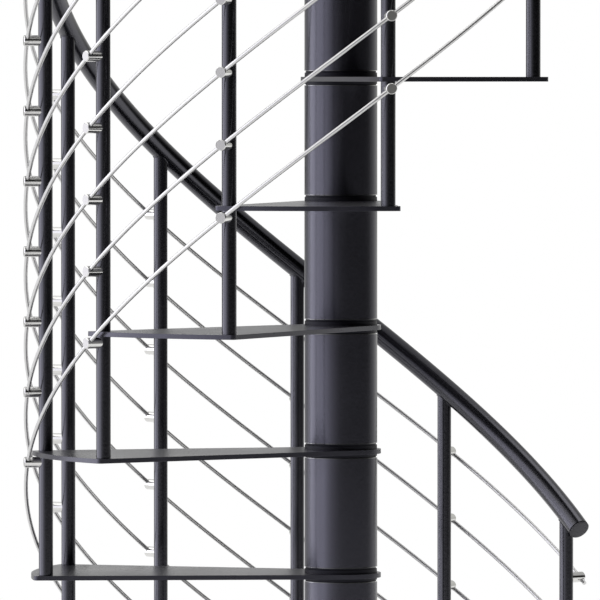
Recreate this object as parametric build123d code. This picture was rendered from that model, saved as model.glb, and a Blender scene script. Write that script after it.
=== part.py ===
from build123d import *
import os
from math import acos, cos, degrees, radians, sin, tan

# Steel spiral staircase. Millimetres, +Z up, origin on the floor at the column's axis.
# It climbs anticlockwise seen from above. Post 0 stands on the floor and post k on
# tread k, at the tread's upper corner, and passes through the corner of tread k + 1.

# ---- driving sizes -------------------------------------------------------------
RISER = 216.0          # top of one tread to top of the next
RISERS = 12            # floor to landing
TURN = 30.0            # degrees of plan that each tread turns
FIRST_BEARING = 40.0   # bearing of post 0 from +X
LANDING_BAYS = 2       # bays of the balustrade along the landing

COLUMN_R = 63.5        # outside of the column
HUB_RIM = 6.5          # how far each plate's round inner end stands out of the column
TREAD_R = 540.0        # rim of each plate
PLATE_T = 8.0          # tread and landing plate
CORNER_R = 8.0         # rim's two corners

POST_R = 12.4          # balustrade posts
POST_TO_RIM = 22.6     # post's axis to the plate's rim
POST_TO_EDGE = 20.0    # post's axis to the plate's straight edge
POST_PLAY = 0.3        # round a post where it passes through a plate

RAIL_R = 18.7          # handrail
RAIL_HEIGHT = 1166.0   # handrail's axis above the tread that the post stands on
RAIL_OVERHANG = 45.0   # past the first and last posts
RAIL_SEAT = 0.3        # a post's coped top to the handrail
PLUG_T = 5.0           # handrail's end plug
PLUG_EDGE = 3.5        # chamfer of its rim

RODS = 8               # rods of the balustrade
ROD_R = 3.7            # to the corners of the six-sided rod
ROD_PAST_RIM = 8.9     # rods' axes outside the plates' rims
ROD_LOWEST = 196.3     # lowest rod's axis above the tread
ROD_PITCH = 121.7      # one rod's axis to the next, straight up
ROD_OVERHANG = 18.0    # past the first and last posts
ROD_PLAY = 0.4         # round a rod in its clip

CLIP_R = 8.8           # to the corners of the six-sided clip
CLIP_PAST_ROD = 7.6    # clip's outer face beyond the rod's axis
CLIP_SEAT = 0.3        # a clip's inner face to its post

FOOT_R = 160.0         # foot plate
FOOT_T = 10.0
ANCHORS = 4
ANCHOR_CIRCLE_R = 125.0
ANCHOR_HOLE_R = 7.0

TOP_CAP_H = 33.0       # cap that closes the column on the landing plate
TOP_CAP_EDGE = 8.0     # chamfer of its rim

FLANGE_START = 90.0    # landing's fixing flange, along the edge from the hub's tangent
FLANGE_LENGTH = 410.0
FLANGE_DEPTH = 70.0
FLANGE_T = 8.0
FLANGE_HOLE_R = 6.0
FLANGE_HOLE_INSET = 80.0

RUN = 15.0             # degrees of plan in each straight run of the handrail and rods

# ---- sizes that follow ---------------------------------------------------------
HUB_R = COLUMN_R + HUB_RIM
POST_RING = TREAD_R - POST_TO_RIM
ROD_RING = TREAD_R + ROD_PAST_RIM
POSTS = RISERS + LANDING_BAYS
LANDING_TURN = LANDING_BAYS * TURN
LANDING_TOP = RISERS * RISER
LEVEL_FROM = RISERS * TURN - RUN / 2   # where the handrail and rods turn level
CLIP_LENGTH = ROD_RING + CLIP_PAST_ROD - POST_RING - POST_R - CLIP_SEAT

# A plate's straight edges are tangents of its hub that pass POST_TO_EDGE outside its
# corner posts. Both angles are seen from the column, from the corner post's bearing.
EDGE_NORMAL = degrees(acos((HUB_R - POST_TO_EDGE) / POST_RING))
RIM_CORNER = EDGE_NORMAL - degrees(acos(HUB_R / TREAD_R))


# ---- places round the column ---------------------------------------------------
def at(radius, bearing, z=0.0):
    """A point by its radius, its bearing from post 0 and its height."""
    angle = radians(FIRST_BEARING + bearing)
    return Vector(radius * cos(angle), radius * sin(angle), z)


def climbed(bearing):
    """Height that the handrail and rods have gained at a bearing."""
    return RISER * min(bearing, LEVEL_FROM) / TURN


def deck(post):
    """Height of the floor, tread or landing that a post stands on."""
    return RISER * min(post, RISERS)


def run_direction(radius, post):
    """Along the handrail or a rod where it passes a post."""
    bearing = post * TURN
    rise = climbed(bearing + RUN / 2) - climbed(bearing - RUN / 2)
    plan = at(1, bearing + 90) * (2 * radius * tan(radians(RUN / 2)))
    return (plan + Vector(0, 0, rise)).normalized()


def climbing_path(radius, height, overhang):
    """Straight runs that touch the pitch circle at the posts and turn between them."""
    last = (POSTS - 1) * TURN
    reach = radius / cos(radians(RUN / 2))
    start = at(radius, 0, height) - run_direction(radius, 0) * overhang
    end = at(radius, last, height + climbed(last)) + at(1, last + 90) * overhang
    turns = int(last / RUN)
    bends = [RUN * (i + 0.5) for i in range(turns)]
    middle = [at(reach, b, height + climbed(b)) for b in bends]
    return Polyline(start, *middle, end)


def bar(path, section):
    """A bar of one section along straight runs, mitred where they meet."""
    foot = Plane(origin=path @ 0, z_dir=path % 0)
    return sweep(foot * section, path=path, transition=Transition.RIGHT)


# ---- column --------------------------------------------------------------------
def drum(bottom, top):
    return Pos(0, 0, bottom) * extrude(Circle(COLUMN_R), top - bottom)


def foot_plate():
    holes = PolarLocations(ANCHOR_CIRCLE_R, ANCHORS, FIRST_BEARING) * Circle(ANCHOR_HOLE_R)
    return extrude(Circle(FOOT_R) - holes, FOOT_T)


def column_sleeves():
    """A sleeve under each plate, standing on the plate below or on the foot plate."""
    tops = [(k + 1) * RISER - PLATE_T for k in range(RISERS)]
    bottoms = [FOOT_T] + [k * RISER for k in range(1, RISERS)]
    return [drum(bottom, top) for bottom, top in zip(bottoms, tops)]


def top_cap():
    cap = drum(0, TOP_CAP_H)
    cap = chamfer(cap.edges().group_by(Axis.Z)[-1], TOP_CAP_EDGE)
    return Pos(0, 0, LANDING_TOP) * cap


# ---- treads and landing --------------------------------------------------------
def fan(turn):
    """A plate's outline, with its leading post on +X and its trailing post at -turn."""
    hub = CenterArc((0, 0), HUB_R, EDGE_NORMAL, 360 - turn - 2 * EDGE_NORMAL)
    rim = CenterArc((0, 0), TREAD_R, -turn - RIM_CORNER, turn + 2 * RIM_CORNER)
    outline = make_face([hub, Line(hub @ 1, rim @ 0), rim, Line(rim @ 1, hub @ 0)])
    corners = [v for v in outline.vertices() if Vector(v).length > (HUB_R + TREAD_R) / 2]
    return fillet(corners, CORNER_R)


def plate(level, turn):
    """The plate whose top is at a level, with the hole of the post from the level below."""
    post_hole = Rot(0, 0, -turn) * Pos(POST_RING, 0) * Circle(POST_R + POST_PLAY)
    lead = FIRST_BEARING + (level - 1) * TURN + turn
    blank = extrude(fan(turn) - post_hole, PLATE_T)
    return Pos(0, 0, level * RISER - PLATE_T) * Rot(0, 0, lead) * blank


def landing_flange():
    """Upright bar under the landing's far edge, drilled for the upper floor's joist."""
    lead = (POSTS - 1) * TURN
    tangent = at(HUB_R, lead + EDGE_NORMAL, LANDING_TOP - PLATE_T)
    outer_face = Plane(
        origin=tangent + at(1, lead + EDGE_NORMAL - 90) * FLANGE_START,
        x_dir=at(1, lead + EDGE_NORMAL - 90),
        z_dir=at(1, lead + EDGE_NORMAL),
    )
    across = (FLANGE_HOLE_INSET, FLANGE_LENGTH - FLANGE_HOLE_INSET)
    blank = Rectangle(FLANGE_LENGTH, FLANGE_DEPTH, align=(Align.MIN, Align.MIN))
    for x in across:
        blank -= Pos(x, FLANGE_DEPTH / 2) * Circle(FLANGE_HOLE_R)
    return extrude(outer_face * blank, -FLANGE_T)


# ---- balustrade ----------------------------------------------------------------
def post(k):
    """A post from its deck up to the handrail, coped to sit under it."""
    foot, ring = deck(k), at(POST_RING, k * TURN)
    axis = RAIL_HEIGHT + climbed(k * TURN)
    stock = Pos(ring.X, ring.Y, foot) * extrude(Circle(POST_R), axis - foot)
    saddle = Plane(origin=ring + Vector(0, 0, axis), z_dir=run_direction(POST_RING, k))
    cutter = extrude(saddle * Circle(RAIL_R + RAIL_SEAT), 4 * RAIL_R, both=True)
    return stock - cutter


def handrail(path):
    return bar(path, Circle(RAIL_R))


def rail_plug(end, direction):
    """Turned plug that closes one end of the handrail."""
    plug = extrude(Circle(RAIL_R), PLUG_T)
    plug = chamfer(plug.edges().group_by(Axis.Z)[-1], PLUG_EDGE)
    return Plane(origin=end, z_dir=direction) * plug


def rod_height(i):
    return ROD_LOWEST + i * ROD_PITCH


def clips_of(i, path):
    """A rod's clips, one on each post, drilled along the rod."""
    clips = []
    for k in range(POSTS):
        bearing = k * TURN
        face = Plane(
            origin=at(POST_RING + POST_R + CLIP_SEAT, bearing, rod_height(i) + climbed(bearing)),
            x_dir=run_direction(ROD_RING, k),
            z_dir=at(1, bearing),
        )
        clips.append(extrude(face * RegularPolygon(CLIP_R, 6, rotation=30), CLIP_LENGTH))
    bore = bar(path, RegularPolygon(ROD_R + ROD_PLAY, 6))
    return [clip - bore for clip in clips]


# ---- the named pieces ----------------------------------------------------------
def write(name, *shapes):
    """One file for each named piece, as separate solids where there are several."""
    solids = [solid for shape in shapes for solid in shape.solids()]
    body = solids[0] if len(solids) == 1 else Compound(children=solids)
    export_step(body, f"parts/{name}.step")


os.makedirs("parts", exist_ok=True)

write("foot_plate", foot_plate())
write("column_sleeves", *column_sleeves())
write("top_cap", top_cap())

for level in range(1, RISERS):
    write(f"tread_{level:02d}", plate(level, TURN))
write("landing_plate", plate(RISERS, LANDING_TURN))
write("landing_flange", landing_flange())

for k in range(POSTS):
    write(f"post_{k:02d}", post(k))

rail_path = climbing_path(POST_RING, RAIL_HEIGHT, RAIL_OVERHANG)
write("handrail", handrail(rail_path))
write(
    "handrail_plugs",
    rail_plug(rail_path @ 0, -(rail_path % 0)),
    rail_plug(rail_path @ 1, rail_path % 1),
)

rod_paths = [climbing_path(ROD_RING, rod_height(i), ROD_OVERHANG) for i in range(RODS)]
for i, path in enumerate(rod_paths):
    write(f"rod_{i + 1}", bar(path, RegularPolygon(ROD_R, 6)))
for i in range(0, RODS, 2):
    pair = [clip for j in (i, i + 1) for clip in clips_of(j, rod_paths[j])]
    write(f"rod_clips_{i + 1}_{i + 2}", *pair)
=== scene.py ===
import math

import bmesh
import bpy
from mathutils import Matrix, Vector


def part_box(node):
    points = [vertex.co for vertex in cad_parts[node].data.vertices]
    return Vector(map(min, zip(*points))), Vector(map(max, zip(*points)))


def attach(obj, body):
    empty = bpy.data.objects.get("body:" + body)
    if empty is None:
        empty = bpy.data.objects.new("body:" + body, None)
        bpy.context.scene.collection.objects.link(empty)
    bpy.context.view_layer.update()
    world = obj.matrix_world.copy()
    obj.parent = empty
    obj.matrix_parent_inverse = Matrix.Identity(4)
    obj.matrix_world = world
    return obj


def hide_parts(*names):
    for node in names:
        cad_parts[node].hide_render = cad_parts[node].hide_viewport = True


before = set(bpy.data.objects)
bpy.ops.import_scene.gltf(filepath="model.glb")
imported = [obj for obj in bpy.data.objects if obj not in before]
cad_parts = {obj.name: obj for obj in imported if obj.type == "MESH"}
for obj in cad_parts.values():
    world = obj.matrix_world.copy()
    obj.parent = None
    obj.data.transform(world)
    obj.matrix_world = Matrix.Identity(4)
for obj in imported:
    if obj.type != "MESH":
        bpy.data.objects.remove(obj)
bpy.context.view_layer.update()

# ---- column sleeves, levelling rings and shims ----------------------------------
# Steel tube cut into one powder-coated sleeve a riser. Between each sleeve's end and
# the plate that it clamps sit a moulded levelling ring, matt black and a touch wider
# at the plate, and a bare steel shim that shows as a fine bright line, its brightness towards the
# column's sides a painted glint in its colour.
risers = 12
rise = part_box("tread_02")[1].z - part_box("tread_01")[1].z
column_r = (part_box("column_sleeves")[1].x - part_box("column_sleeves")[0].x) / 2
foot_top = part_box("foot_plate")[1].z
landing_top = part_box("landing_plate")[1].z
plate_t = landing_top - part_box("landing_plate")[0].z
ring_over = 0.0105     # height of the ring that stands on a plate
ring_under = 0.0065    # height of the ring under a plate
ring_inset = 0.0002    # ring's wall inside the sleeves' at the plate
ring_taper = 0.0004    # and at its groove
groove_depth = 0.0022
groove_start = 0.66    # shares of the ring's height, from the plate
groove_full = 0.74
shim_t = 0.0008
shim_proud = 0.0001
joint_chamfer = 0.0003
column_facets = 96


def mark_sharp(bm, degrees):
    """Edges that turn more than this stay crisp, and everything else is shaded smooth."""
    bm.normal_update()
    limit = math.radians(degrees)
    for face in bm.faces:
        face.smooth = True
    for edge in bm.edges:
        edge.smooth = len(edge.link_faces) == 2 and edge.calc_face_angle() < limit


def piece_from(bm, name):
    """A finished bmesh as a piece in the scene."""
    mesh = bpy.data.meshes.new(name)
    bm.to_mesh(mesh)
    bm.free()
    obj = bpy.data.objects.new(name, mesh)
    bpy.context.collection.objects.link(obj)
    return obj


def turned(name, profile, facets):
    """A lathe-turned piece. The profile runs up the axis as (radius, place) points."""
    bm = bmesh.new()
    rows = []
    for radius, place in profile:
        if radius == 0:
            rows.append([bm.verts.new((0, 0, place))] * facets)
            continue
        ring = []
        for i in range(facets):
            angle = math.tau * i / facets
            x, y = radius * math.cos(angle), radius * math.sin(angle)
            ring.append(bm.verts.new((x, y, place)))
        rows.append(ring)
    for low, high in zip(rows, rows[1:]):
        for i in range(facets):
            j = (i + 1) % facets
            corners = []
            for v in (low[i], low[j], high[j], high[i]):
                if v not in corners:
                    corners.append(v)
            if len(corners) > 2:
                bm.faces.new(corners)
    mark_sharp(bm, degrees=28)
    return piece_from(bm, name)


def joined(name, parts):
    """Several pieces as one."""
    bm = bmesh.new()
    for part in parts:
        bm.from_mesh(part.data)
        bpy.data.objects.remove(part)
    return piece_from(bm, name)


def new_input(tree, name, kind, value=None):
    socket = tree.interface.new_socket(name=name, in_out="INPUT", socket_type=kind)
    if value is not None:
        socket.default_value = value


def link(tree, source, target):
    tree.links.new(source, target)


def feed(tree, value, socket):
    """Links an output to a socket, or sets a plain number or colour on it."""
    if isinstance(value, bpy.types.NodeSocket):
        link(tree, value, socket)
    else:
        socket.default_value = value


def math_node(tree, operation, *terms):
    """A Math node fed with outputs or numbers; returns its output."""
    node = tree.nodes.new("ShaderNodeMath")
    node.operation = operation
    for socket, term in zip(node.inputs, terms):
        feed(tree, term, socket)
    return node.outputs[0]


def vector_node(tree, x, y, z):
    node = tree.nodes.new("ShaderNodeCombineXYZ")
    for socket, value in zip(node.inputs, (x, y, z)):
        feed(tree, value, socket)
    return node.outputs[0]


def new_output(tree, name, kind):
    tree.interface.new_socket(name=name, in_out="OUTPUT", socket_type=kind)


def realize_and_paint(tree, copies, finish):
    """Ends a geometry tree: its copies made real, in their finish."""
    real = tree.nodes.new("GeometryNodeRealizeInstances")
    link(tree, copies, real.inputs[0])
    paint = tree.nodes.new("GeometryNodeSetMaterial")
    link(tree, real.outputs[0], paint.inputs["Geometry"])
    link(tree, finish, paint.inputs["Material"])
    result = tree.nodes.new("NodeGroupOutput")
    link(tree, paint.outputs[0], result.inputs[0])


def climbing_tree():
    """Copies a piece up the stair: each copy one turn on and one rise up."""
    tree = bpy.data.node_groups.new("Climb the stair", "GeometryNodeTree")
    new_input(tree, "Geometry", "NodeSocketGeometry")
    new_input(tree, "Count", "NodeSocketInt", 2)
    new_input(tree, "Rise", "NodeSocketFloat", 0.2)
    new_input(tree, "Turn", "NodeSocketFloat", 0.5)
    new_input(tree, "Finish", "NodeSocketMaterial")
    new_output(tree, "Geometry", "NodeSocketGeometry")
    given = tree.nodes.new("NodeGroupInput").outputs
    steps = tree.nodes.new("GeometryNodeMeshLine")
    link(tree, given["Count"], steps.inputs["Count"])
    link(tree, vector_node(tree, 0.0, 0.0, given["Rise"]), steps.inputs["Offset"])
    index = tree.nodes.new("GeometryNodeInputIndex").outputs[0]
    bearing = math_node(tree, "MULTIPLY", index, given["Turn"])
    spread = tree.nodes.new("GeometryNodeInstanceOnPoints")
    link(tree, steps.outputs["Mesh"], spread.inputs["Points"])
    link(tree, given["Geometry"], spread.inputs["Instance"])
    link(tree, vector_node(tree, 0.0, 0.0, bearing), spread.inputs["Rotation"])
    realize_and_paint(tree, spread.outputs[0], given["Finish"])
    return tree


def grown(obj, tree, **values):
    """Runs a geometry tree on a piece and keeps the result as its plain mesh."""
    modifier = obj.modifiers.new(tree.name, "NODES")
    modifier.node_group = tree
    names = {s.name: s.identifier for s in tree.interface.items_tree if s.in_out == "INPUT"}
    for name, value in values.items():
        modifier[names[name]] = value
    obj.data.update()
    depsgraph = bpy.context.evaluated_depsgraph_get()
    mesh = bpy.data.meshes.new_from_object(obj.evaluated_get(depsgraph))
    obj.modifiers.clear()
    mesh.name = obj.name
    obj.data = mesh
    return obj


def noise(tree, coordinates, scale, detail=2.0, roughness=0.5):
    node = tree.nodes.new("ShaderNodeTexNoise")
    node.inputs["Scale"].default_value = scale
    node.inputs["Detail"].default_value = detail
    node.inputs["Roughness"].default_value = roughness
    link(tree, coordinates, node.inputs["Vector"])
    return node.outputs["Fac"]


def stretched_range(tree, value, low, high, to_low=0.0, to_high=1.0):
    """A value taken from one range to another, and held at its ends."""
    node = tree.nodes.new("ShaderNodeMapRange")
    link(tree, value, node.inputs["Value"])
    ends = {"From Min": low, "From Max": high, "To Min": to_low, "To Max": to_high}
    for name, end in ends.items():
        feed(tree, end, node.inputs[name])
    return node.outputs["Result"]


def colour_mix(tree, share, first, second):
    """A colour between two, by a share. Each is an output or a tuple of three."""
    node = tree.nodes.new("ShaderNodeMix")
    node.data_type = "RGBA"
    link(tree, share, node.inputs["Factor"])
    for colour, socket in ((first, node.inputs["A"]), (second, node.inputs["B"])):
        feed(tree, (*colour, 1) if isinstance(colour, tuple) else colour, socket)
    return node.outputs["Result"]


def new_finish(name):
    """A new material, its node tree and its surface shader."""
    material = bpy.data.materials.new(name)
    material.use_nodes = True
    tree = material.node_tree
    return material, tree, tree.nodes["Principled BSDF"]


def give_relief(tree, shader, height, strength, distance):
    bump = tree.nodes.new("ShaderNodeBump")
    bump.inputs["Strength"].default_value = strength
    bump.inputs["Distance"].default_value = distance
    link(tree, height, bump.inputs["Height"])
    link(tree, bump.outputs["Normal"], shader.inputs["Normal"])


peel_size = 0.0016
peel_strength = 0.35
dust_tone = (0.3, 0.3, 0.31)


def powder_skin_group():
    """Powder coat's skin: fine orange peel, uneven gloss and a trace of settled dust."""
    tree = bpy.data.node_groups.new("Powder skin", "ShaderNodeTree")
    new_input(tree, "Peel size", "NodeSocketFloat", peel_size)
    new_input(tree, "Gloss", "NodeSocketFloat", 0.42)
    new_input(tree, "Gloss spread", "NodeSocketFloat", 0.08)
    new_input(tree, "Dust", "NodeSocketFloat", 0.1)
    given = tree.nodes.new("NodeGroupInput").outputs
    place = tree.nodes.new("ShaderNodeTexCoord").outputs["Object"]
    in_peels = tree.nodes.new("ShaderNodeVectorMath")
    in_peels.operation = "SCALE"
    link(tree, place, in_peels.inputs[0])
    link(tree, math_node(tree, "DIVIDE", 1.0, given["Peel size"]), in_peels.inputs["Scale"])
    peel = noise(tree, in_peels.outputs[0], scale=1.0, detail=1.5)
    ripple = noise(tree, in_peels.outputs[0], scale=0.33, detail=2.0)
    relief = math_node(tree, "ADD", math_node(tree, "MULTIPLY", peel, 0.5), ripple)

    broad = noise(tree, place, scale=5.0, detail=3.0)
    fine = noise(tree, place, scale=170.0, detail=3.0, roughness=0.6)
    broad_part = math_node(tree, "MULTIPLY", broad, 0.6)
    fine_part = math_node(tree, "MULTIPLY", fine, 0.4)
    uneven = math_node(tree, "ADD", broad_part, fine_part)
    half = math_node(tree, "MULTIPLY", given["Gloss spread"], 0.5)
    least = math_node(tree, "SUBTRACT", given["Gloss"], half)
    most = math_node(tree, "ADD", given["Gloss"], half)
    gloss = stretched_range(tree, uneven, low=0.35, high=0.65, to_low=least, to_high=most)

    facing = tree.nodes.new("ShaderNodeSeparateXYZ")
    link(tree, tree.nodes.new("ShaderNodeNewGeometry").outputs["Normal"], facing.inputs[0])
    upward = stretched_range(tree, facing.outputs["Z"], low=0.7, high=1.0)
    specks = stretched_range(tree, fine, low=0.3, high=0.75, to_low=0.2)
    settled = math_node(tree, "MULTIPLY", upward, specks)
    dust = math_node(tree, "MULTIPLY", settled, given["Dust"])
    tone = stretched_range(tree, broad, low=0.3, high=0.7)

    result = tree.nodes.new("NodeGroupOutput")
    for name, value in (("Height", relief), ("Roughness", gloss), ("Dust", dust), ("Tone", tone)):
        new_output(tree, name, "NodeSocketFloat")
        link(tree, value, result.inputs[name])
    return tree


powder_skin = powder_skin_group()


def powder_coat(name, tones, gloss, peel_depth, dust=0.1, ior=1.85, sheen=(0.83, 0.82, 1.0)):
    """Powder coat, or a moulded part's skin, between two near tones with a cool sheen."""
    material, tree, shader = new_finish(name)
    skin = tree.nodes.new("ShaderNodeGroup")
    skin.node_tree = powder_skin
    skin.inputs["Peel size"].default_value = peel_size
    skin.inputs["Gloss"].default_value = gloss
    skin.inputs["Dust"].default_value = dust
    tone = colour_mix(tree, skin.outputs["Tone"], *tones)
    dusted = colour_mix(tree, skin.outputs["Dust"], tone, dust_tone)
    link(tree, dusted, shader.inputs["Base Color"])
    link(tree, skin.outputs["Roughness"], shader.inputs["Roughness"])
    give_relief(tree, shader, skin.outputs["Height"], strength=peel_strength, distance=peel_depth)
    shader.inputs["IOR"].default_value = ior
    shader.inputs["Specular Tint"].default_value = (*sheen, 1)
    return material


anthracite = ((0.0012, 0.0012, 0.0015), (0.002, 0.0019, 0.0024))
ring_black = ((0.0012, 0.0011, 0.0017), (0.002, 0.0019, 0.0026))
column_coat = powder_coat("Column powder coat", anthracite, gloss=0.22, peel_depth=0.0002)
moulded_black = powder_coat(
    "Moulded black", ring_black, gloss=0.5, peel_depth=0.0001, dust=0.03, ior=1.4
)


cloud_dimming = 0.9       # tone in the clouds, of the steel's own
grain_gloss_spread = 0.15
grain_strength = 0.05
grain_height = 0.00003


def bare_steel(name, tone, roughness, grain_scale, grain_depth=1.0, faced=None):
    """Drawn or turned steel left bare, with a fine grain and a faint cloudiness.

    Where a piece carries the attribute "faced", that skin has its own tone and
    roughness from the lathe.
    """
    material, tree, shader = new_finish(name)
    place = tree.nodes.new("ShaderNodeTexCoord").outputs["Object"]
    grain = noise(tree, place, grain_scale, detail=3.0, roughness=0.6)
    cloud = noise(tree, place, scale=9.0, detail=2.0)
    clouded = tuple(c * cloud_dimming for c in tone)
    colour = colour_mix(tree, cloud, clouded, tone)
    spread = grain_gloss_spread * grain_depth
    least, most = roughness * (1 - spread), roughness * (1 + spread)
    skin = stretched_range(tree, grain, low=0.3, high=0.7, to_low=least, to_high=most)
    if faced:
        face = tree.nodes.new("ShaderNodeAttribute")
        face.attribute_name = "faced"
        mask = face.outputs["Fac"]
        rougher = math_node(tree, "MULTIPLY", mask, faced["roughness"] - roughness)
        skin = math_node(tree, "ADD", skin, rougher)
        colour = colour_mix(tree, mask, colour, faced["tone"])
    link(tree, colour, shader.inputs["Base Color"])
    link(tree, skin, shader.inputs["Roughness"])
    strength = grain_strength * grain_depth
    give_relief(tree, shader, grain, strength=strength, distance=grain_height)
    shader.inputs["Metallic"].default_value = 1.0
    return material


def painted_glint_at_the_sides(material, colour, start, full):
    """Paints a metal's colour brighter as its surface turns away to the sides: a painted glint,
    with the colour left dark where the surface faces the eye.
    """
    tree = material.node_tree
    base = tree.nodes["Principled BSDF"].inputs["Base Color"]
    aside = tree.nodes.new("ShaderNodeLayerWeight").outputs["Facing"]
    share = stretched_range(tree, aside, low=start, high=full)
    link(tree, colour_mix(tree, share, base.links[0].from_socket, colour), base)


# The shim's steel is painted dark where it faces the eye and bright where it turns to the column's
# sides: a painted glint in its colour, not a reflection.
shim_steel = bare_steel("Shim steel", (0.16, 0.16, 0.16), roughness=0.16, grain_scale=900.0)
painted_glint_at_the_sides(shim_steel, (0.92, 0.92, 0.92), start=0.3, full=0.75)


def sleeve_profile(bottom, top):
    """A sleeve with both its rims chamfered."""
    return [
        (0, bottom),
        (column_r - joint_chamfer, bottom),
        (column_r, bottom + joint_chamfer),
        (column_r, top - joint_chamfer),
        (column_r - joint_chamfer, top),
        (0, top),
    ]


def ring_profile(at_plate, away):
    """A levelling ring from its wide end at the plate to the groove at the shim."""
    height = away - at_plate
    profile = [
        (0, at_plate),
        (column_r - ring_inset, at_plate),
        (column_r - ring_taper, at_plate + height * groove_start),
        (column_r - groove_depth, at_plate + height * groove_full),
        (column_r - groove_depth, away),
        (0, away),
    ]
    return profile if height > 0 else profile[::-1]


def shim_profile(bottom):
    edge = column_r + shim_proud
    return [(0, bottom), (edge, bottom), (edge, bottom + shim_t), (0, bottom + shim_t)]


stair_tree = climbing_tree()


def stacked(name, profile, finish, count=risers):
    """A turned piece repeated up the column, one a riser."""
    piece = turned(name, profile, column_facets)
    return grown(piece, stair_tree, Count=count, Rise=rise, Turn=0.0, Finish=finish)


tube_low = rise + ring_over + shim_t
tube_high = 2 * rise - plate_t - ring_under - shim_t
first_tube = turned("first_tube", sleeve_profile(foot_top, tube_high - rise), column_facets)
tubes = stacked("tubes", sleeve_profile(tube_low, tube_high), column_coat, risers - 1)
column = joined("column_tubes", [first_tube, tubes])
column.data.materials.append(column_coat)

under_plate = rise - plate_t - ring_under
rings_over = stacked("rings_over", ring_profile(rise, rise + ring_over), moulded_black)
rings_under = stacked("rings_under", ring_profile(rise - plate_t, under_plate), moulded_black)
rings = joined("levelling_rings", [rings_over, rings_under])
rings.data.materials.append(moulded_black)

shims_over = stacked("shims_over", shim_profile(rise + ring_over), shim_steel)
shims_under = stacked("shims_under", shim_profile(under_plate - shim_t), shim_steel)
shims = joined("shims", [shims_over, shims_under])
shims.data.materials.append(shim_steel)
for piece, slot in ((column, "column_coat"), (rings, "column_coat"), (shims, "stainless")):
    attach(piece, "root")
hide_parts("column_sleeves")

# ---- foot plate and top cap -------------------------------------------------------
# A flame-cut disc drilled for four floor anchors, its edges eased, and a turned cap
# that closes the top of the column above the landing. Both are coated as the column.
edge_ease = 0.0003
cap_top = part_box("top_cap")[1].z
cap_foot = landing_top + ring_over + shim_t
cap_round = 0.008
cap_round_steps = 6


def eased(node, name):
    """A copy of a CAD plate with its sharp rims broken."""
    bm = bmesh.new()
    bm.from_mesh(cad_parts[node].data)
    bmesh.ops.remove_doubles(bm, verts=bm.verts, dist=1e-5)
    flat = math.radians(0.5)
    bmesh.ops.dissolve_limit(bm, angle_limit=flat, verts=bm.verts, edges=bm.edges)
    bm.normal_update()
    rim_turn = math.radians(60)
    rims = []
    for edge in bm.edges:
        if len(edge.link_faces) == 2 and edge.calc_face_angle() > rim_turn:
            rims.append(edge)
    bmesh.ops.bevel(bm, geom=rims, offset=edge_ease, segments=2, affect="EDGES", profile=0.5)
    mark_sharp(bm, degrees=20)
    return piece_from(bm, name)


foot = eased("foot_plate", "foot_plate_cut")
foot.data.materials.append(column_coat)
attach(foot, "root")
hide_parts("foot_plate")

cap_profile = [
    (0, cap_foot),
    (column_r - joint_chamfer, cap_foot),
    (column_r, cap_foot + joint_chamfer),
]
for i in range(cap_round_steps + 1):
    angle = math.radians(90 * i / cap_round_steps)
    radius = column_r - cap_round + cap_round * math.cos(angle)
    cap_profile.append((radius, cap_top - cap_round + cap_round * math.sin(angle)))
cap_profile.append((0, cap_top))
cap = turned("column_cap", cap_profile, column_facets)
cap.data.materials.append(column_coat)
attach(cap, "root")
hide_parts("top_cap")

# ---- treads, landing plate and its flange -------------------------------------------
# Eight-millimetre plate cut to a fan, round at the column, with the corners eased and
# one hole for the post that rises from the tread below. The landing is twice as wide
# and has an upright flange welded under its far edge. Coated a little flatter.
turn_degrees = 30.0
turn = math.radians(turn_degrees)
landing_degrees = risers * turn_degrees
tread_tones = ((0.0014, 0.0013, 0.0017), (0.0024, 0.0023, 0.0028))
tread_coat = powder_coat(
    "Tread powder coat", tread_tones, gloss=0.3, peel_depth=0.00022, dust=0.08, ior=1.78
)
treads = eased("tread_01", "treads")
treads = grown(treads, stair_tree, Count=risers - 1, Rise=rise, Turn=turn, Finish=tread_coat)
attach(treads, "root")
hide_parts(*[f"tread_{level:02d}" for level in range(1, risers)])

for node in ("landing_plate", "landing_flange"):
    piece = eased(node, f"{node}_cut")
    piece.data.materials.append(tread_coat)
    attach(piece, "root")
    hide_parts(node)

# ---- handrail and its end plugs ------------------------------------------------------
# One round tube bent to the stair's helix, which turns level along the landing, closed
# at each end by a low domed plug that leaves a fine joint line.
posts = 14
first_post = (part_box("post_00")[0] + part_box("post_00")[1]) / 2
first_bearing = math.atan2(first_post.y, first_post.x)
post_ring = math.hypot(first_post.x, first_post.y)
last_bearing = (posts - 1) * turn_degrees
rail_r = 0.0187
rail_height = 1.166
rail_overhang = 0.045
rail_facets = 40
rail_slope = math.atan2(rise, post_ring * turn)
level_from = 352.5     # degrees past the first post where the bars turn level
level_blend = 5.0      # degrees each way over which they do
on_the_level = 365     # a bearing well past the turn
plug_t = 0.005
plug_spigot = 0.006    # inside the tube
plug_neck = 0.0018     # how far the spigot stands in from the tube's face
plug_gap = 0.002
plug_rim = 0.0004
rail_sheen = (0.89, 0.885, 1.0)
rail_coat = powder_coat(
    "Rail powder coat",
    anthracite,
    gloss=0.19,
    peel_depth=0.0002,
    dust=0.03,
    ior=1.82,
    sheen=rail_sheen,
)


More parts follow.
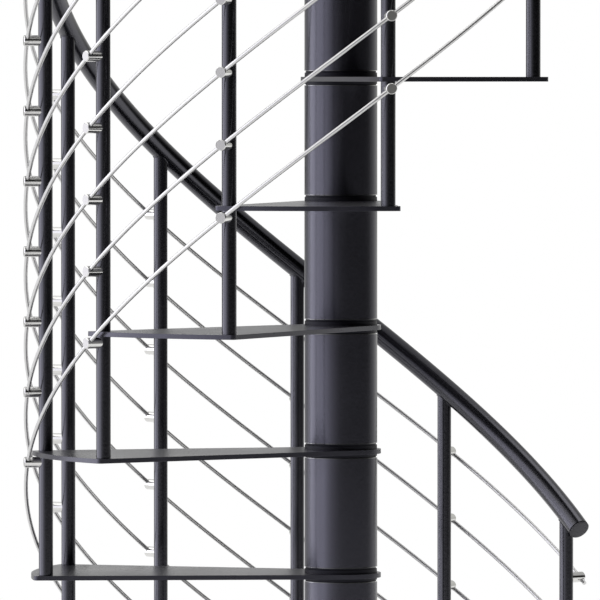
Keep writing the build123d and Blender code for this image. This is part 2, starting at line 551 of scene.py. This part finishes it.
def climbing_bar_tree():
    """A round bar on the stair's helix, going level at the landing, one or more high."""
    tree = bpy.data.node_groups.new("Climbing bar", "GeometryNodeTree")
    new_input(tree, "Geometry", "NodeSocketGeometry")
    for name, value in (
        ("Ring radius", 0.5),
        ("Height", 1.0),
        ("Bar radius", 0.01),
        ("Start degrees", 0.0),
        ("End degrees", 390.0),
        ("Level from degrees", 355.0),
        ("Blend degrees", 4.0),
        ("Rise per degree", 0.007),
        ("First bearing", 0.0),
        ("Pitch", 0.1),
    ):
        new_input(tree, name, "NodeSocketFloat", value)
    for name, value in (("Points", 200), ("Facets", 16), ("Bars", 1)):
        new_input(tree, name, "NodeSocketInt", value)
    new_input(tree, "Finish", "NodeSocketMaterial")
    new_output(tree, "Geometry", "NodeSocketGeometry")
    given = tree.nodes.new("NodeGroupInput").outputs
    chain = tree.nodes.new("GeometryNodeMeshLine")
    link(tree, given["Points"], chain.inputs["Count"])
    index = tree.nodes.new("GeometryNodeInputIndex").outputs[0]
    last = math_node(tree, "SUBTRACT", given["Points"], 1.0)
    share = math_node(tree, "DIVIDE", index, last)
    span = math_node(tree, "SUBTRACT", given["End degrees"], given["Start degrees"])
    gone = math_node(tree, "MULTIPLY", share, span)
    degrees = math_node(tree, "ADD", given["Start degrees"], gone)
    level_at, blend = given["Level from degrees"], given["Blend degrees"]
    climbing_degrees = math_node(tree, "SMOOTH_MIN", degrees, level_at, blend)
    climbed = math_node(tree, "MULTIPLY", climbing_degrees, given["Rise per degree"])
    radians = math_node(tree, "RADIANS", degrees)
    bearing = math_node(tree, "ADD", radians, given["First bearing"])
    x = math_node(tree, "MULTIPLY", given["Ring radius"], math_node(tree, "COSINE", bearing))
    y = math_node(tree, "MULTIPLY", given["Ring radius"], math_node(tree, "SINE", bearing))
    z = math_node(tree, "ADD", given["Height"], climbed)
    bend = tree.nodes.new("GeometryNodeSetPosition")
    link(tree, chain.outputs["Mesh"], bend.inputs["Geometry"])
    link(tree, vector_node(tree, x, y, z), bend.inputs["Position"])
    line = tree.nodes.new("GeometryNodeMeshToCurve")
    link(tree, bend.outputs[0], line.inputs["Mesh"])
    section = tree.nodes.new("GeometryNodeCurvePrimitiveCircle")
    link(tree, given["Facets"], section.inputs["Resolution"])
    link(tree, given["Bar radius"], section.inputs["Radius"])
    skin = tree.nodes.new("GeometryNodeCurveToMesh")
    link(tree, line.outputs[0], skin.inputs["Curve"])
    link(tree, section.outputs["Curve"], skin.inputs["Profile Curve"])
    skin.inputs["Fill Caps"].default_value = True
    stack = tree.nodes.new("GeometryNodeMeshLine")
    link(tree, given["Bars"], stack.inputs["Count"])
    link(tree, vector_node(tree, 0.0, 0.0, given["Pitch"]), stack.inputs["Offset"])
    spread = tree.nodes.new("GeometryNodeInstanceOnPoints")
    link(tree, stack.outputs["Mesh"], spread.inputs["Points"])
    link(tree, skin.outputs[0], spread.inputs["Instance"])
    realize_and_paint(tree, spread.outputs[0], given["Finish"])
    return tree


bar_tree = climbing_bar_tree()


def bar_ends(ring, overhang):
    """The bearings at which a bar starts and ends, in degrees past the first post."""
    slope = math.atan2(rise, ring * turn)
    start = -math.degrees(overhang * math.cos(slope) / ring)
    return start, last_bearing + math.degrees(overhang / ring)


def climbing_bar(name, ring, height, radius, overhang, points, facets, finish, bars=1, pitch=0.0):
    """A bar, or several one above the other, from the first post to the last."""
    blank = bpy.data.objects.new(name, bpy.data.meshes.new(name))
    bpy.context.collection.objects.link(blank)
    start, end = bar_ends(ring, overhang)
    values = {
        "Ring radius": ring,
        "Height": height,
        "Bar radius": radius,
        "Start degrees": start,
        "End degrees": end,
        "Level from degrees": level_from,
        "Blend degrees": level_blend,
        "Rise per degree": rise / turn_degrees,
        "First bearing": first_bearing,
        "Pitch": pitch,
        "Points": points,
        "Facets": facets,
        "Bars": bars,
        "Finish": finish,
    }
    bar = grown(blank, bar_tree, **values)
    bm = bmesh.new()
    bm.from_mesh(bar.data)
    bmesh.ops.recalc_face_normals(bm, faces=bm.faces)
    mark_sharp(bm, degrees=40)
    bm.to_mesh(bar.data)
    bm.free()
    return bar


def bar_point(ring, height, degrees):
    """A point on a bar's axis, by its degrees past the first post."""
    gap = max(level_blend - abs(degrees - level_from), 0) / level_blend
    climbed = min(degrees, level_from) - gap ** 3 * level_blend / 6
    angle = first_bearing + math.radians(degrees)
    z = height + climbed * rise / turn_degrees
    return Vector((ring * math.cos(angle), ring * math.sin(angle), z))


def bar_direction(ring, height, degrees):
    """The way a bar runs at a point on its axis."""
    step = 0.01
    ahead = bar_point(ring, height, degrees + step)
    return (ahead - bar_point(ring, height, degrees - step)).normalized()


handrail = climbing_bar(
    "handrail_tube",
    ring=post_ring,
    height=rail_height,
    radius=rail_r,
    overhang=rail_overhang,
    points=420,
    facets=rail_facets,
    finish=rail_coat,
)
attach(handrail, "root")
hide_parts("handrail")

plug_profile = [
    (0, -plug_spigot),
    (rail_r - plug_neck, -plug_spigot),
    (rail_r - plug_neck, plug_gap),
    (rail_r - plug_rim, plug_gap),
    (rail_r, plug_gap + plug_rim),
    (rail_r, 0.0034),
    (rail_r - 0.0005, 0.004),
    (rail_r * 0.9, 0.0044),
    (rail_r * 0.7, 0.0047),
    (rail_r * 0.4, 0.0049),
    (0, plug_t),
]
plugs = []
for degrees, outward in zip(bar_ends(post_ring, rail_overhang), (-1, 1)):
    end = bar_point(post_ring, rail_height, degrees)
    run = bar_direction(post_ring, rail_height, degrees) * outward
    plug = turned("plug", plug_profile, rail_facets)
    plug.data.transform(Matrix.Translation(end) @ run.to_track_quat("Z", "Y").to_matrix().to_4x4())
    plugs.append(plug)
plugs = joined("rail_plugs", plugs)
plug_tones = ((0.065, 0.065, 0.067), (0.085, 0.085, 0.088))
moulded_grey = powder_coat(
    "Moulded grey", plug_tones, gloss=0.6, peel_depth=0.0002, dust=0.02, ior=1.42
)
plugs.data.materials.append(moulded_grey)
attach(plugs, "root")
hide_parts("handrail_plugs")

# ---- posts ---------------------------------------------------------------------------
# Slim round tube, one at each tread's upper corner. Each is welded to its plate, passes
# through the corner of the plate above, and is coped at the top to sit under the rail.
post_r = (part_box("post_00")[1].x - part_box("post_00")[0].x) / 2
post_facets = 32
post_into_rail = 0.0008
weld_r = 0.0013
weld_facets = 8
weld_out = 0.0004      # weld's middle outside the post's wall
weld_below = 0.0003    # and under the rail's skin
weld_ripples = 11
weld_ripple = 0.12
post_coat = powder_coat(
    "Post powder coat",
    anthracite,
    gloss=0.18,
    peel_depth=0.0002,
    dust=0.03,
    ior=1.82,
    sheen=rail_sheen,
)


def under_rail(x, y, slope):
    """Height of the rail's underside over a point beside the post's axis."""
    reach = math.sqrt(max(rail_r ** 2 - x * x, 0))
    return (y * math.sin(slope) - reach) / math.cos(slope)


def add_weld(bm, slope, axis_height):
    """A small weld round a post's top, rippled as it was laid."""
    around = 2 * post_facets
    loops = []
    for i in range(around):
        angle = math.tau * i / around
        bead = 1 + weld_ripple * math.sin(weld_ripples * angle)
        reach = post_r + weld_out
        centre = Vector((reach * math.cos(angle), reach * math.sin(angle), 0))
        centre.z = axis_height + under_rail(centre.x, centre.y, slope) - weld_below
        outward = Vector((math.cos(angle), math.sin(angle), 0))
        loop = []
        for s in range(weld_facets):
            way = math.tau * s / weld_facets
            step = outward * math.cos(way) + Vector((0, 0, 1)) * math.sin(way)
            loop.append(bm.verts.new(centre + step * weld_r * bead))
        loops.append(loop)
    for i in range(around):
        j = (i + 1) % around
        for s in range(weld_facets):
            t = (s + 1) % weld_facets
            bm.faces.new((loops[i][s], loops[j][s], loops[j][t], loops[i][t]))


def coped_post(name, degrees, foot, slope, axis_height):
    """A post with its top cut to the rail and a small weld round the joint."""
    bm = bmesh.new()
    low, high = [], []
    for i in range(post_facets):
        angle = math.tau * i / post_facets
        x, y = post_r * math.cos(angle), post_r * math.sin(angle)
        low.append(bm.verts.new((x, y, foot)))
        top = axis_height + under_rail(x, y, slope) + post_into_rail
        high.append(bm.verts.new((x, y, top)))
    low_middle = bm.verts.new((0, 0, foot))
    top = axis_height + under_rail(0, 0, slope) + post_into_rail
    high_middle = bm.verts.new((0, 0, top))
    for i in range(post_facets):
        j = (i + 1) % post_facets
        bm.faces.new((low[i], low[j], high[j], high[i]))
        bm.faces.new((low_middle, low[j], low[i]))
        bm.faces.new((high_middle, high[i], high[j]))
    add_weld(bm, slope, axis_height)
    mark_sharp(bm, degrees=40)
    bearing = first_bearing + math.radians(degrees)
    place = Matrix.Translation((post_ring * math.cos(bearing), post_ring * math.sin(bearing), 0))
    bm.transform(place @ Matrix.Rotation(bearing, 4, "Z"))
    return piece_from(bm, name)


climbing_posts = coped_post("climbing_posts", 0, 0.0, rail_slope, rail_height)
climbing_posts = grown(
    climbing_posts, stair_tree, Count=risers, Rise=rise, Turn=turn, Finish=post_coat
)
level_axis = bar_point(post_ring, rail_height, on_the_level).z
landing_posts = coped_post("landing_posts", landing_degrees, landing_top, 0.0, level_axis)
landing_posts = grown(
    landing_posts, stair_tree, Count=posts - risers, Rise=0.0, Turn=turn, Finish=post_coat
)
for piece, numbers in ((climbing_posts, range(risers)), (landing_posts, range(risers, posts))):
    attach(piece, "root")
    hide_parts(*[f"post_{k:02d}" for k in numbers])

# ---- rods ------------------------------------------------------------------------------
# Drawn stainless rod bent to the same helix, eight lines of it one above the other,
# threaded through the clips outside the posts. Its drawn skin is satin, not polished.
rods = 8
rod_r = 0.00355
rod_ring = 0.5489
rod_lowest = 0.1963
rod_pitch = 0.1217
rod_overhang = 0.018
drawn_steel = bare_steel(
    "Drawn stainless", (0.72, 0.715, 0.71), roughness=0.36, grain_scale=900.0, grain_depth=0.3
)
rod_lines = climbing_bar(
    "rods",
    ring=rod_ring,
    height=rod_lowest,
    radius=rod_r,
    overhang=rod_overhang,
    points=200,
    facets=12,
    finish=drawn_steel,
    bars=rods,
    pitch=rod_pitch,
)
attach(rod_lines, "root")
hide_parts(*[f"rod_{i}" for i in range(1, rods + 1)])

# ---- rod clips ----------------------------------------------------------------------------
# Turned stainless studs, one on each post for each rod. Each is saddled to the post's
# round, chamfered at its face and cross-drilled along the run of its rod.
clip_r = 0.0094
clip_chamfer = 0.0011
clip_past_rod = 0.0064
clip_end = rod_ring + clip_past_rod
clip_sink = 0.0003     # saddle into the post's wall
clip_hole_r = 0.0042
clip_facets = 20
drill_facets = 12
drill_length = 0.06
face_finish = {"tone": (0.415, 0.41, 0.395), "roughness": 0.38}
turned_steel = bare_steel(
    "Turned stainless", (0.74, 0.735, 0.72), roughness=0.16, grain_scale=1400.0, faced=face_finish
)


def clip_blank(name):
    """An undrilled clip on the X axis, saddled to a post on the post ring."""
    bm = bmesh.new()
    saddle, rim, face = [], [], []
    face_r = clip_r - clip_chamfer
    for i in range(clip_facets):
        angle = math.tau * i / clip_facets
        y, z = math.cos(angle), math.sin(angle)
        wall = post_ring + math.sqrt(post_r ** 2 - (clip_r * y) ** 2) - clip_sink
        saddle.append(bm.verts.new((wall, clip_r * y, clip_r * z)))
        rim.append(bm.verts.new((clip_end - clip_chamfer, clip_r * y, clip_r * z)))
        face.append(bm.verts.new((clip_end, face_r * y, face_r * z)))
    back = bm.verts.new((post_ring + post_r - clip_sink, 0, 0))
    for i in range(clip_facets):
        j = (i + 1) % clip_facets
        bm.faces.new((saddle[i], saddle[j], rim[j], rim[i]))
        bm.faces.new((rim[i], rim[j], face[j], face[i]))
        bm.faces.new((back, saddle[j], saddle[i]))
    bm.faces.new(face)
    return piece_from(bm, name)


def drill_at(climb):
    """The drill for a rod that climbs at an angle, laid along the rod."""
    bm = bmesh.new()
    along = Vector((0, math.cos(climb), math.sin(climb)))
    turned_to_rod = along.to_track_quat("Z", "X").to_matrix().to_4x4()
    bmesh.ops.create_cone(
        bm,
        cap_ends=True,
        segments=drill_facets,
        radius1=clip_hole_r,
        radius2=clip_hole_r,
        depth=drill_length,
        matrix=Matrix.Translation((rod_ring, 0, 0)) @ turned_to_rod,
    )
    return piece_from(bm, "drill")


def drilled_clip(name, climb):
    """A clip cross-drilled for its rod, with its end face marked as faced."""
    clip = clip_blank(name)
    drill = drill_at(climb)
    cut = clip.modifiers.new("drilled", "BOOLEAN")
    cut.operation = "DIFFERENCE"
    cut.solver = "EXACT"
    cut.object = drill
    depsgraph = bpy.context.evaluated_depsgraph_get()
    drilled = bpy.data.meshes.new_from_object(clip.evaluated_get(depsgraph))
    clip.modifiers.clear()
    bpy.data.objects.remove(drill)
    bm = bmesh.new()
    bm.from_mesh(drilled)
    mark_sharp(bm, degrees=30)
    faced = bm.faces.layers.float.new("faced")
    for face in bm.faces:
        at_the_end = face.calc_center_median().x > clip_end - 1e-4
        face[faced] = 1.0 if at_the_end and face.normal.x > 0.99 else 0.0
    bm.to_mesh(drilled)
    bm.free()
    clip.data = drilled
    return clip


def clip_rows(name, climb, first_degrees, lift):
    """The clips of all the rods on one post, from one drilled clip."""
    clip = drilled_clip(name, climb)
    bearing = first_bearing + math.radians(first_degrees)
    clip.data.transform(Matrix.Translation((0, 0, lift)) @ Matrix.Rotation(bearing, 4, "Z"))
    return grown(clip, stair_tree, Count=rods, Rise=rod_pitch, Turn=0.0, Finish=turned_steel)


rod_slope = math.atan2(rise, rod_ring * turn)
climbing_clips = clip_rows("climbing_clips", rod_slope, 0, rod_lowest)
climbing_clips = grown(
    climbing_clips, stair_tree, Count=risers, Rise=rise, Turn=turn, Finish=turned_steel
)
level_lift = bar_point(rod_ring, rod_lowest, on_the_level).z
landing_clips = clip_rows("landing_clips", 0.0, landing_degrees, level_lift)
landing_clips = grown(
    landing_clips, stair_tree, Count=posts - risers, Rise=0.0, Turn=turn, Finish=turned_steel
)
clips = joined("rod_clips", [climbing_clips, landing_clips])
clips.data.materials.append(turned_steel)
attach(clips, "root")
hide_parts(*[f"rod_clips_{i}_{i + 1}" for i in range(1, rods, 2)])

# ---- studio ----------------------------------------------------------------------------------
# A white room, bright along the left and dark to the right, under a ceiling that dims
# from left to right and one soft panel. The pale floor goes white with distance, and a
# long-lens camera looks almost level at the middle of the stair.
scene = bpy.context.scene
scene.view_settings.view_transform = "Standard"

floor_r = 9.0
floor_drop = 0.0005
floor_white = (3.0, 8.5)         # from the column, where it goes white to the camera
floor_gloss_white = (0.6, 1.6)   # and where it does in reflections
bm = bmesh.new()
bmesh.ops.create_circle(bm, cap_ends=True, segments=96, radius=floor_r)
for v in bm.verts:
    v.co.z = -floor_drop
floor = piece_from(bm, "floor")
floor_finish, tree, shader = new_finish("Pale floor")
shader.inputs["Base Color"].default_value = (0.86, 0.86, 0.86, 1)
shader.inputs["Roughness"].default_value = 0.6
place = tree.nodes.new("ShaderNodeTexCoord").outputs["Object"]
reach = tree.nodes.new("ShaderNodeVectorMath")
reach.operation = "LENGTH"
link(tree, place, reach.inputs[0])
far = stretched_range(tree, reach.outputs["Value"], *floor_white)
clear = stretched_range(tree, reach.outputs["Value"], *floor_gloss_white)
rays = tree.nodes.new("ShaderNodeLightPath").outputs
seen = math_node(tree, "MULTIPLY", rays["Is Camera Ray"], far)
mirrored = math_node(tree, "MULTIPLY", rays["Is Glossy Ray"], clear)
white = tree.nodes.new("ShaderNodeEmission")
pick = tree.nodes.new("ShaderNodeMixShader")
link(tree, math_node(tree, "MAXIMUM", seen, mirrored), pick.inputs["Fac"])
link(tree, shader.outputs["BSDF"], pick.inputs[1])
link(tree, white.outputs[0], pick.inputs[2])
link(tree, pick.outputs[0], tree.nodes["Material Output"].inputs["Surface"])
floor.data.materials.append(floor_finish)

# Bearings run from the camera's side, positive to the right; each has a level and a
# share of the key side's cool tint, warm where it is negative.
studio_round = (
    (-180, 0.55, -0.4),
    (-150, 0.5, 0.0),
    (-130, 0.4, 0.8),
    (-110, 2.5, 1.1),
    (-87, 2.35, 1.1),
    (-70, 1.7, 1.1),
    (-56, 1.9, 1.1),
    (-42, 1.1, 1.1),
    (-29, 0.58, 1.1),
    (-16, 0.29, 1.0),
    (-3, 0.09, 0.6),
    (10, 0.03, 0.2),
    (22, 0.01, 0.0),
    (40, 0.0, 0.0),
    (66, 0.0, 0.0),
    (80, 0.01, -0.4),
    (98, 0.04, -0.4),
    (117, 0.31, -0.4),
    (146, 0.65, -0.4),
    (180, 0.55, -0.4),
)
cool_tint = (-0.024, -0.026, 0.06)   # what a full share adds to red, green and blue
brightest = 2.6
low_glow = 0.5                       # from the floor's white, below the horizon
low_glow_span = (-0.01, -0.16)
ceiling_left = 1.8
ceiling_right = 0.5
ceiling_span = (-0.6, 0.0)
ceiling_start = 0.42
ceiling_fade = 0.1
front_shade = 0.3                    # how much higher the ceiling starts at the front
backing_span = (0.985, 0.995)        # straight behind the stair, white in reflections
world = bpy.data.worlds.new("White studio")
scene.world = world
world.use_nodes = True
tree = world.node_tree
surround = tree.nodes["Background"]
way = tree.nodes.new("ShaderNodeTexCoord").outputs["Generated"]
split = tree.nodes.new("ShaderNodeSeparateXYZ")
link(tree, way, split.inputs[0])
to_front = math_node(tree, "MULTIPLY", split.outputs["Y"], -1.0)
bearing = math_node(tree, "ARCTAN2", split.outputs["X"], to_front)
share = math_node(tree, "ADD", math_node(tree, "MULTIPLY", bearing, 1 / math.tau), 0.5)
around = tree.nodes.new("ShaderNodeValToRGB")
link(tree, share, around.inputs["Fac"])
stops = around.color_ramp.elements
stops.remove(stops[1])
stops[0].position = 0.0
for k, (degrees, level, tint) in enumerate(studio_round):
    stop = stops[0] if k == 0 else stops.new(degrees / 360 + 0.5)
    level /= brightest
    stop.color = (*[level * (1 + tint * part) for part in cool_tint], 1)
glow = stretched_range(
    tree, split.outputs["Z"], *low_glow_span, to_low=0.0, to_high=low_glow / brightest
)
walls = tree.nodes.new("ShaderNodeVectorMath")
walls.operation = "ADD"
link(tree, around.outputs["Color"], walls.inputs[0])
link(tree, glow, walls.inputs[1])
in_front = math_node(tree, "MINIMUM", split.outputs["Y"], 0.0)
height = math_node(
    tree, "ADD", split.outputs["Z"], math_node(tree, "MULTIPLY", in_front, front_shade)
)
above = stretched_range(tree, height, low=ceiling_start, high=ceiling_start + ceiling_fade)
ceiling = stretched_range(
    tree,
    split.outputs["X"],
    *ceiling_span,
    to_low=ceiling_left / brightest,
    to_high=ceiling_right / brightest,
)
room = colour_mix(tree, above, walls.outputs[0], ceiling)
link(tree, room, surround.inputs["Color"])
surround.inputs["Strength"].default_value = brightest
white = tree.nodes.new("ShaderNodeBackground")
white.inputs["Color"].default_value = (1, 1, 1, 1)
rays = tree.nodes.new("ShaderNodeLightPath").outputs
backing = stretched_range(tree, split.outputs["Y"], *backing_span)
mirrored = math_node(tree, "MULTIPLY", rays["Is Glossy Ray"], backing)
pick = tree.nodes.new("ShaderNodeMixShader")
link(tree, math_node(tree, "MAXIMUM", rays["Is Camera Ray"], mirrored), pick.inputs["Fac"])
link(tree, surround.outputs[0], pick.inputs[1])
link(tree, white.outputs[0], pick.inputs[2])
link(tree, pick.outputs[0], tree.nodes["World Output"].inputs["Surface"])

panel_side = 4.5
panel_radiance = 1.2
panel_place = Vector((0.3, 1.6, 7.0))
panel_aim = Vector((0.0, 0.0, 2.0))
panel_light = bpy.data.lights.new("overhead", "AREA")
panel_light.shape = "RECTANGLE"
panel_light.size = panel_side
panel_light.size_y = panel_side
panel_light.energy = panel_radiance * math.pi * panel_side * panel_side
panel = bpy.data.objects.new("overhead", panel_light)
panel.location = panel_place
panel.rotation_mode = "QUATERNION"
panel.rotation_quaternion = (panel_aim - panel_place).to_track_quat("-Z", "Y")
panel.visible_camera = False
bpy.context.collection.objects.link(panel)

camera_bearing = math.radians(-88.783)
camera_distance = 12.667
camera_height = 1.9465
camera_pan = math.radians(0.3219)
camera_tilt = math.radians(1.7694)
camera_data = bpy.data.cameras.new("camera")
camera_data.sensor_width = 36
camera_data.lens = 436.3
camera_data.clip_start = 0.1
camera_data.clip_end = 500
camera = bpy.data.objects.new("camera", camera_data)
bpy.context.collection.objects.link(camera)
camera.location = (
    camera_distance * math.cos(camera_bearing),
    camera_distance * math.sin(camera_bearing),
    camera_height,
)
to_column = Vector((-math.cos(camera_bearing), -math.sin(camera_bearing), 0))
look = Matrix.Rotation(camera_pan, 3, "Z") @ to_column
look.z = -math.tan(camera_tilt)
camera.rotation_mode = "QUATERNION"
camera.rotation_quaternion = look.to_track_quat("-Z", "Y")
scene.camera = camera
